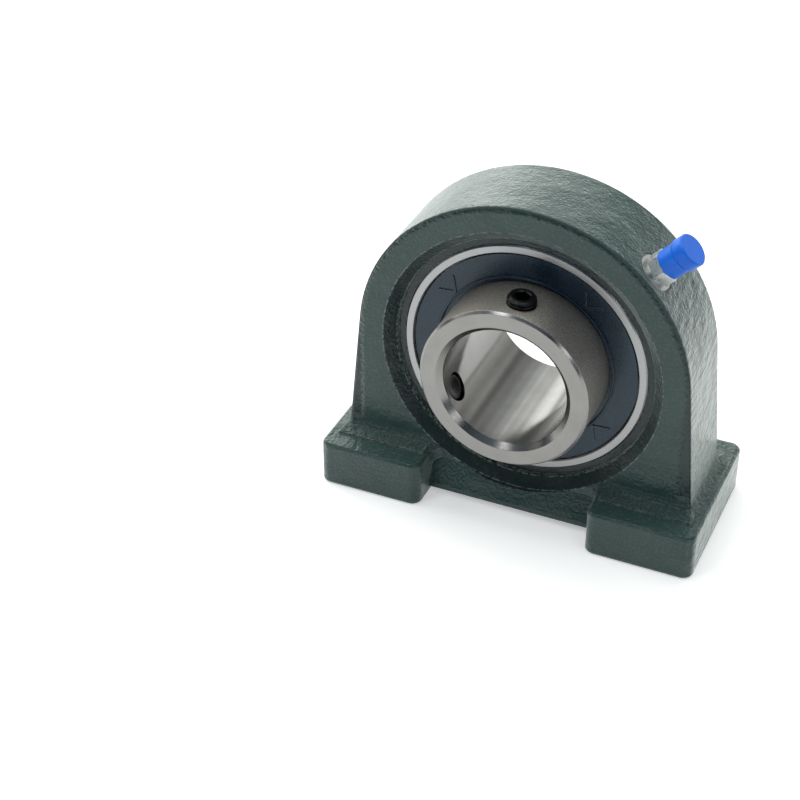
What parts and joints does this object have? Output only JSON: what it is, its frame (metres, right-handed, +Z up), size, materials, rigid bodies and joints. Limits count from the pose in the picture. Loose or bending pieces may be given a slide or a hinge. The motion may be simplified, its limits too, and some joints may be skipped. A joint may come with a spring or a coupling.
{
  "type": "pillow block bearing",
  "caption": "Tapped-base pillow block: painted cast housing with a self-aligning insert ball bearing held to its shaft by set screws, and a capped grease nipple.",
  "frame": {"origin": "on the mounting plane, under the shaft axis and midway between the two tapped holes", "axes": "+Z up, X along the base, +Y along the shaft; the long end of the inner ring with the set screws faces -Y"},
  "size_m": [0.11, 0.0494, 0.095],
  "materials": {
    "painted_iron": "semi-gloss grey-green machine paint over rough cast iron",
    "ring_steel": "ground bearing steel, lightly oiled",
    "ball_steel": "lapped mirror",
    "cage_steel": "pressed sheet",
    "shield_steel": "pressed sheet",
    "slinger_black": "black coated sheet steel, satin",
    "seal_rubber": "matt",
    "screw_black": "black oxide, oiled",
    "nipple_zinc": "bright zinc plate",
    "spring_steel": "drawn wire",
    "cap_plastic": "moulded polyethylene, satin"
  },
  "bodies": {
    "housing": {"housing": "painted_iron", "nipple_body": "nipple_zinc", "nipple_spring": "spring_steel"},
    "outer_race": {"outer_ring": "ring_steel", "shield_front": "shield_steel", "shield_rear": "shield_steel", "seal_lip_front": "seal_rubber", "seal_lip_rear": "seal_rubber"},
    "inner_race": {"inner_ring": "ring_steel", "slinger_front": "slinger_black", "slinger_rear": "slinger_black"},
    "set_screw_1": {"set_screw_1": "screw_black"},
    "set_screw_2": {"set_screw_2": "screw_black"},
    "cage": {"cage_half_front": "cage_steel", "cage_half_rear": "cage_steel", "cage_rivets": "cage_steel"},
    "check_valve": {"nipple_check_ball": "ball_steel"},
    "dust_cap": {"nipple_cap": "cap_plastic"},
    "ball_1": {"ball_1": "ball_steel"},
    "ball_2": {"ball_2": "ball_steel"},
    "ball_3": {"ball_3": "ball_steel"},
    "ball_4": {"ball_4": "ball_steel"},
    "ball_5": {"ball_5": "ball_steel"},
    "ball_6": {"ball_6": "ball_steel"},
    "ball_7": {"ball_7": "ball_steel"},
    "ball_8": {"ball_8": "ball_steel"},
    "ball_9": {"ball_9": "ball_steel"}
  },
  "joints": [
    {"name": "self_align", "type": "hinge", "parent": "housing", "child": "outer_race", "pos_m": [0, 0, 0.0476], "axis": [1, 0, 0], "range_deg": [-3, 3]},
    {"name": "shaft_turn", "type": "hinge", "parent": "outer_race", "child": "inner_race", "pos_m": [0, 0, 0.0476], "axis": [0, 1, 0], "continuous": true},
    {"name": "cage_turn", "type": "hinge", "parent": "outer_race", "child": "cage", "pos_m": [0, 0, 0.0476], "axis": [0, 1, 0], "continuous": true},
    {"name": "ball_1_roll", "type": "hinge", "parent": "cage", "child": "ball_1", "pos_m": [0, 0, 0.07437], "axis": [0, 1, 0], "continuous": true},
    {"name": "ball_2_roll", "type": "hinge", "parent": "cage", "child": "ball_2", "pos_m": [-0.01721, 0, 0.06811], "axis": [0, 1, 0], "continuous": true},
    {"name": "ball_3_roll", "type": "hinge", "parent": "cage", "child": "ball_3", "pos_m": [-0.02637, 0, 0.05225], "axis": [0, 1, 0], "continuous": true},
    {"name": "ball_4_roll", "type": "hinge", "parent": "cage", "child": "ball_4", "pos_m": [-0.02319, 0, 0.03421], "axis": [0, 1, 0], "continuous": true},
    {"name": "ball_5_roll", "type": "hinge", "parent": "cage", "child": "ball_5", "pos_m": [-0.00916, 0, 0.02244], "axis": [0, 1, 0], "continuous": true},
    {"name": "ball_6_roll", "type": "hinge", "parent": "cage", "child": "ball_6", "pos_m": [0.00916, 0, 0.02244], "axis": [0, 1, 0], "continuous": true},
    {"name": "ball_7_roll", "type": "hinge", "parent": "cage", "child": "ball_7", "pos_m": [0.02319, 0, 0.03421], "axis": [0, 1, 0], "continuous": true},
    {"name": "ball_8_roll", "type": "hinge", "parent": "cage", "child": "ball_8", "pos_m": [0.02637, 0, 0.05225], "axis": [0, 1, 0], "continuous": true},
    {"name": "ball_9_roll", "type": "hinge", "parent": "cage", "child": "ball_9", "pos_m": [0.01721, 0, 0.06811], "axis": [0, 1, 0], "continuous": true},
    {"name": "set_screw_1_travel", "type": "slide", "parent": "inner_race", "child": "set_screw_1", "axis": [0.0819, 0, 0.9966], "range_m": [-0.0004, 0.004]},
    {"name": "set_screw_2_travel", "type": "slide", "parent": "inner_race", "child": "set_screw_2", "axis": [-0.9041, 0, -0.4274], "range_m": [-0.0004, 0.004]},
    {"name": "check_valve_press", "type": "slide", "parent": "housing", "child": "check_valve", "axis": [-0.7071, 0, -0.7071], "range_m": [0, 0.001], "stiffness_N_per_m": 150, "springref_m": -0.0004, "deforming": ["nipple_spring"]},
    {"name": "dust_cap_pull", "type": "slide", "parent": "housing", "child": "dust_cap", "axis": [0.7071, 0, 0.7071], "range_m": [0, 0.012]}
  ],
  "couplings": [
    {"joint": "cage_turn", "follows": "shaft_turn", "ratio": 0.39624},
    {"joint": "ball_1_roll", "follows": "shaft_turn", "ratio": -2.3057},
    {"joint": "ball_2_roll", "follows": "shaft_turn", "ratio": -2.3057},
    {"joint": "ball_3_roll", "follows": "shaft_turn", "ratio": -2.3057},
    {"joint": "ball_4_roll", "follows": "shaft_turn", "ratio": -2.3057},
    {"joint": "ball_5_roll", "follows": "shaft_turn", "ratio": -2.3057},
    {"joint": "ball_6_roll", "follows": "shaft_turn", "ratio": -2.3057},
    {"joint": "ball_7_roll", "follows": "shaft_turn", "ratio": -2.3057},
    {"joint": "ball_8_roll", "follows": "shaft_turn", "ratio": -2.3057},
    {"joint": "ball_9_roll", "follows": "shaft_turn", "ratio": -2.3057}
  ]
}
